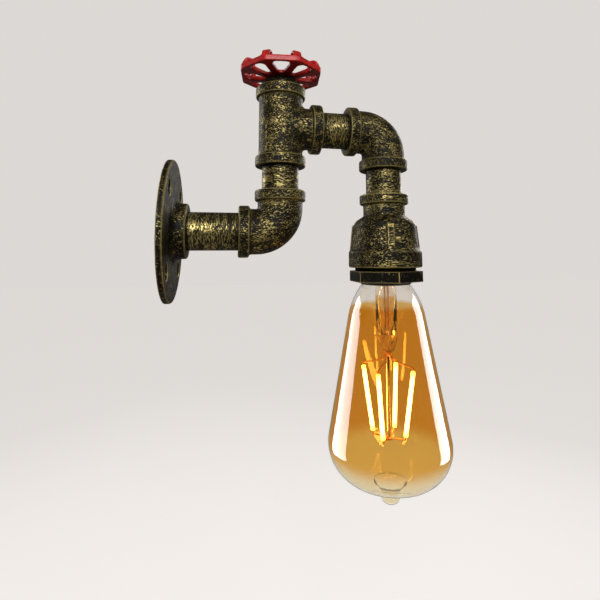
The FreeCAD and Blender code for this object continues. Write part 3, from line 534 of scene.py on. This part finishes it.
def filamentGlow():
    # phosphor sticks, mottled by the dies inside them and yellower towards their ends
    material, tree, shader, place = newMaterial("filamentGlow", Roughness=filament["roughness"],
                                                Base_Color=filament["body"],
                                                Emission_Strength=filament["glow"])
    beads = noise(tree, place, filament["beadScale"], 2.0)
    height = heightOf(tree, place)
    high, low = filament["topHeight"], filament["bottomHeight"]
    nearTop = ramp(tree, height, high - filament["warmEnd"], high)
    nearFoot = maths(tree, "SUBTRACT", 1.0, ramp(tree, height, low, low + filament["warmEnd"]))
    ends = maths(tree, "MAXIMUM", nearTop, nearFoot)
    mottle = ramp(tree, beads, filament["beadFrom"], filament["beadTo"])
    warmth = maths(tree, "MULTIPLY_ADD", mottle, filament["beadWarmth"], ends)
    tree.links.new(mixColour(tree, warmth, filament["hot"], filament["warm"]),
                   shader.inputs["Emission Color"])
    tree.links.new(bump(tree, beads, filament["bumpStrength"], filament["bumpHeight"]),
                   shader.inputs["Normal"])
    return material


# brass: strokes, coverage, edge wear and height of the bump; others: colours, roughness and scale
finishes = {
    "flange_finish": agedBrass("agedBrassFlange", "diagonal", 0.14, 1.2, 0.00010),
    "pipe_finish": agedBrass("agedBrassPipe", "roundUpright", 0.26, 1.0, 0.00005, pointed=0.0),
    "fitting_finish": agedBrass("agedBrassFitting", "diagonal", 0.215, 1.2, 0.00022),
    "hex_finish": agedBrass("agedBrassHex", "roundLevel", 0.04, 2.0, 0.00006, pointed=0.0),
    "plug_black": agedBrass("agedBrassPlug", "diagonal", 0.05, 0.2, 0.00012, haze=0.3),
    "wheel_red": redEnamel(),
    "plated_steel": plainMetal("platedSteel", (0.55, 0.54, 0.5, 1), (0.4, 0.38, 0.34, 1), 0.25, 600.0),
    "holder_black": moulded("holderBlack", (0.012, 0.011, 0.01, 1), (0.022, 0.02, 0.018, 1),
                            0.4, 900.0),
    "contact_brass": plainMetal("contactBrass", (0.72, 0.5, 0.2, 1), (0.5, 0.33, 0.13, 1), 0.2, 500.0),
    "live_sheath": moulded("liveSheath", (0.17, 0.06, 0.025, 1), (0.12, 0.04, 0.02, 1), 0.4, 700.0),
    "neutral_sheath": moulded("neutralSheath", (0.02, 0.09, 0.36, 1), (0.015, 0.07, 0.28, 1),
                              0.4, 700.0),
    "earth_sheath": moulded("earthSheath", (0.1, 0.32, 0.05, 1), (0.6, 0.55, 0.05, 1), 0.4, 160.0),
    "cap_metal": plainMetal("capMetal", (0.62, 0.5, 0.28, 1), (0.45, 0.35, 0.18, 1), 0.22, 500.0),
    "cap_insulator": moulded("capInsulator", (0.02, 0.018, 0.02, 1), (0.03, 0.025, 0.03, 1),
                             0.15, 500.0),
    "board_green": moulded("boardGreen", (0.02, 0.16, 0.05, 1), (0.03, 0.2, 0.07, 1), 0.35, 1200.0),
    "amber_glass": amberGlass(),
    "clear_glass": clearGlass(),
    "copper_wire": plainMetal("copperWire", (0.8, 0.42, 0.2, 1), (0.62, 0.3, 0.13, 1), 0.25, 900.0),
    "filament_glow": filamentGlow(),
}
# pieces rubbed another way than the rest of their slot
levelPipe = agedBrass("agedBrassPipeLevel", "roundLevel", 0.26, 1.0, 0.00005, pointed=0.0)
variants = {
    "wall_nipple": levelPipe, "arm_nipple": levelPipe,
    "reducing_socket": agedBrass("agedBrassBell", "long", 0.20, 1.6, 0.00016),
}


def finishPiece(piece, node):
    piece.data.materials.clear()
    piece.data.materials.append(variants.get(node, finishes[slotOf[node]]))


for cadNode in nodes:
    finishPiece(nodes[cadNode], cadNode)
print("finishes made")


def seat(piece, node):
    # the piece takes the node's body, and the finish of the node's slot
    body = nodes[node]["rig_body"]
    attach(piece, body)
    finishPiece(piece, node)


castings = {
    "voxels": {"wall_flange": 0.0005, "lower_elbow": 0.00045, "tee": 0.00045,
               "upper_elbow": 0.00045, "reducing_socket": 0.0005, "top_plug": 0.0004,
               "handwheel": 0.00036},
    "softening": {"handwheel": 14, "top_plug": 10, "reducing_socket": 3}, "usualSoftening": 4,
    "smoothing": 0.5, "unevenness": 0.00012, "lumpSize": 0.006,
}


def castLumps():
    texture = bpy.data.textures.new("castLumps", "CLOUDS")
    texture.noise_scale = castings["lumpSize"]
    return texture


def makeCasting(node, texture):
    # softened and slightly uneven, as it comes from the mould
    piece = dressedCopy(node, node + "_casting")
    applyModifier(piece, "REMESH", mode="VOXEL", voxel_size=castings["voxels"][node],
                  use_smooth_shade=True)
    applyModifier(piece, "SMOOTH", factor=castings["smoothing"],
                  iterations=castings["softening"].get(node, castings["usualSoftening"]))
    applyModifier(piece, "DISPLACE", texture=texture, texture_coords="GLOBAL", mid_level=1.0,
                  strength=castings["unevenness"])  # only inwards
    seat(piece, node)


lumpTexture = castLumps()
for castNode in castings["voxels"]:
    makeCasting(castNode, lumpTexture)
print("castings softened")

turnedNodes = {  # sharpest angle in degrees that is shaded smooth
    "wall_nipple": 30, "riser_nipple": 30, "arm_nipple": 30, "drop_nipple": 30, "hex_bushing": 15,
    "lampholder_body": 30, "wheel_washer": 30, "wheel_nut": 30, "wheel_spindle": 30,
    "glass_stem": 40, "exhaust_tube": 40, "lead_in_wires": 40, "wire_crimp": 30,
    "support_wires": 60, "filament_joint": 50, "centre_rod": 40, "bulb_cap": 25,
}
for turnedNode, sharpest in turnedNodes.items():
    turnedPiece = dressedCopy(turnedNode, turnedNode + "_turned")
    smoothByAngle(turnedPiece, sharpest)
    seat(turnedPiece, turnedNode)
print("turned parts smoothed")

bulb = {
    "axis": (0.1244, 0.0), "neckRadius": 0.01195, "neckTop": -0.0246, "neckFoot": -0.0293,
    "mouth": (0.0141, -0.0303), "shoulderHeight": -0.0409, "coneAngle": 10.3,
    "bellyRadius": 0.0349, "bellyHeight": -0.1192, "bellyArc": 0.0196, "bottomArc": 0.054,
    "tipFlare": 0.0095, "tipTop": 0.0064, "tipRoot": 0.003, "tipEnd": 0.0044, "tipLength": 0.0091,
    "footRound": 0.0004, "mouthRound": 0.0015, "shoulderRound": 0.040, "tipRound": 0.003,
    "wall": 0.0008, "steps": 128, "neckSteps": 8, "bellySteps": 26, "bottomSteps": 12,
    "tipSteps": 7, "smoothing": 40,
}


def bulbOutline():
    # neck, rounded shoulder, cone, belly, flatter bottom and the sealed tip
    inset = bulb["bellyRadius"] - bulb["bellyArc"]
    rise = math.sqrt((bulb["bottomArc"] - bulb["bellyArc"]) ** 2 - inset ** 2)
    join = -math.degrees(math.atan2(rise, inset))
    belly = arcRun((inset, bulb["bellyHeight"]), bulb["bellyArc"], bulb["coneAngle"], join,
                   bulb["bellySteps"])
    drop = bulb["shoulderHeight"] - belly[0][1]
    shoulder = (belly[0][0] - drop * math.tan(math.radians(bulb["coneAngle"])), bulb["shoulderHeight"])
    neckCorners = [(bulb["neckRadius"], bulb["neckTop"]), (bulb["neckRadius"], bulb["neckFoot"]),
                   bulb["mouth"], shoulder, belly[0]]
    neckRounds = [bulb["footRound"], bulb["mouthRound"], bulb["shoulderRound"]]
    neck = roundedRun(neckCorners, neckRounds, bulb["neckSteps"])
    bottomCentre = bulb["bellyHeight"] + rise
    tipStart = -math.degrees(math.acos(bulb["tipFlare"] / bulb["bottomArc"]))
    bottom = arcRun((0, bottomCentre), bulb["bottomArc"], join, tipStart, bulb["bottomSteps"])
    lowest = bottomCentre - bulb["bottomArc"]
    tipCorners = [bottom[-1], (bulb["tipTop"], lowest - bulb["tipRoot"]),
                  (bulb["tipEnd"], lowest - bulb["tipLength"]), (0, lowest - bulb["tipLength"])]
    tip = roundedRun(tipCorners, [bulb["tipRound"], bulb["tipRound"]], bulb["tipSteps"])
    return neck[:-1] + belly + bottom[1:] + tip[1:]


def makeBulbGlass():
    piece = spunPiece("bulb_envelope", bulbOutline(), bulb["axis"], bulb["steps"])
    applyModifier(piece, "SOLIDIFY", thickness=bulb["wall"], offset=-1)
    smoothByAngle(piece, bulb["smoothing"])
    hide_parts("bulb_glass")
    seat(piece, "bulb_glass")


def makeFilaments():
    # phosphor sticks with rounded ends
    axis = Vector((bulb["axis"][0], bulb["axis"][1], 0))
    made = []
    for i in range(filament["count"]):
        turn = math.radians(filament["phase"] + 360 * i / filament["count"])
        way = Vector((math.cos(turn), math.sin(turn), 0))
        top = axis + way * filament["topReach"] + Vector((0, 0, filament["topHeight"]))
        low = axis + way * filament["bottomReach"] + Vector((0, 0, filament["bottomHeight"]))
        bpy.ops.object.select_all(action="DESELECT")
        bpy.ops.mesh.primitive_cylinder_add(vertices=filament["sides"], radius=filament["radius"],
                                            depth=(top - low).length, location=(top + low) / 2,
                                            rotation=(top - low).to_track_quat("Z", "Y").to_euler())
        stick = bpy.context.object
        bpy.ops.object.transform_apply(location=True, rotation=True, scale=True)
        applyModifier(stick, "BEVEL", width=filament["endRound"], segments=filament["endSegments"])
        smoothByAngle(stick, filament["smoothing"])
        made.append(stick)
    pick(made[0])
    for stick in made:
        stick.select_set(True)
    bpy.ops.object.join()
    made[0].name = "filament_sticks"
    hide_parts("filaments")
    seat(made[0], "filaments")


makeBulbGlass()
makeFilaments()
print("bulb made")

stage = {
    "floorHeight": -0.42, "floorSize": 12.0, "floorRoughness": 0.9, "floorGlow": 0.95,
    "floorDull": (0.30, 0.29, 0.28, 1), "floorFaint": (0.28, 0.27, 0.26, 1), "faintScale": 8.0,
    "pale": (0.72, 0.69, 0.665, 1), "worldLight": 0.15,
    "glossShare": 0.08,  # share of the pale backdrop that reflections show
}


def shownRays(tree):
    # 1 for what the camera sees, straight or through glass, and a share of it for reflections
    rays = addNode(tree, "ShaderNodeLightPath").outputs
    shown = maths(tree, "MAXIMUM", rays["Is Camera Ray"], rays["Is Transmission Ray"])
    mirrored = maths(tree, "MULTIPLY", rays["Is Glossy Ray"], stage["glossShare"])
    return maths(tree, "MAXIMUM", shown, mirrored)


def makeFloor():
    bpy.ops.object.select_all(action="DESELECT")
    bpy.ops.mesh.primitive_plane_add(size=stage["floorSize"], location=(0, 0, stage["floorHeight"]))
    floor = bpy.context.object
    floor.name = "paleFloor"
    material, tree, shader, place = newMaterial("paleFloor", Roughness=stage["floorRoughness"],
                                                Emission_Color=stage["pale"])
    faint = noise(tree, place, stage["faintScale"], 3.0)
    tree.links.new(mixColour(tree, faint, stage["floorDull"], stage["floorFaint"]),
                   shader.inputs["Base Color"])
    glow = maths(tree, "MULTIPLY", shownRays(tree), stage["floorGlow"])
    tree.links.new(glow, shader.inputs["Emission Strength"])
    floor.data.materials.append(material)


def makeWorld():
    world = bpy.data.worlds.new("paleStudio")
    scene.world = world
    world.use_nodes = True
    tree = world.node_tree
    background = tree.nodes["Background"]
    background.inputs["Color"].default_value = stage["pale"]
    strength = spread(tree, shownRays(tree), stage["worldLight"], 1.0)
    tree.links.new(strength, background.inputs["Strength"])


lamps = {
    "target": (0.08, 0.0, 0.0), "bulbTarget": (0.1244, 0.0, -0.09),
    "softBoxes": {
        "keySoft": {"place": (-0.02, -0.62, 0.26), "size": (0.30, 0.30), "power": 4.0},
        "fillSoft": {"place": (0.42, -0.50, 0.30), "size": (0.3, 0.3), "power": 1.2},
        "backLeftSoft": {"place": (-0.48, 0.50, 0.26), "size": (0.4, 0.4), "power": 2.4},
        "backRightSoft": {"place": (0.55, 0.52, 0.22), "size": (0.4, 0.4), "power": 2.4},
    },
    "strips": {  # reflected in the glass as the two white strips
        "leftStrip": {"place": (-0.259, 0.236, -0.09), "size": (0.35, 0.48), "power": 6.0},
        "rightStrip": {"place": (0.574, 0.011, -0.09), "size": (0.27, 0.48), "power": 4.6},
    },
    "glass": ("bulb_envelope", "glass_stem_turned", "exhaust_tube_turned"),
}


def makeLamp(name, lampSettings, target, receivers):
    data = bpy.data.lights.new(name, "AREA")
    data.shape = "RECTANGLE"
    data.size, data.size_y = lampSettings["size"]
    data.energy = lampSettings["power"]
    lamp = bpy.data.objects.new(name, data)
    scene.collection.objects.link(lamp)
    lamp.location = lampSettings["place"]
    way = Vector(target) - Vector(lampSettings["place"])
    lamp.rotation_euler = way.to_track_quat("-Z", "Y").to_euler()
    lamp.visible_camera = False
    lamp.light_linking.receiver_collection = receivers
    return lamp


def glassCollection(name, state):
    # the bulb's glass, either all that a lamp lights or all that it leaves out
    collection = bpy.data.collections.new(name)
    for glassPiece in lamps["glass"]:
        collection.objects.link(bpy.data.objects[glassPiece])
    for member in collection.collection_objects:
        member.light_linking.link_state = state
    return collection


makeFloor()
makeWorld()
withoutGlass = glassCollection("withoutGlass", "EXCLUDE")
onlyGlass = glassCollection("onlyGlass", "INCLUDE")
for lampName, settings in lamps["softBoxes"].items():
    makeLamp(lampName, settings, lamps["target"], withoutGlass)
for lampName, settings in lamps["strips"].items():
    strip = makeLamp(lampName, settings, lamps["bulbTarget"], onlyGlass)
    strip.visible_transmission = False  # reflected in the glass, never seen through it
print("stage and lamps placed")

bpy.context.view_layer.update()
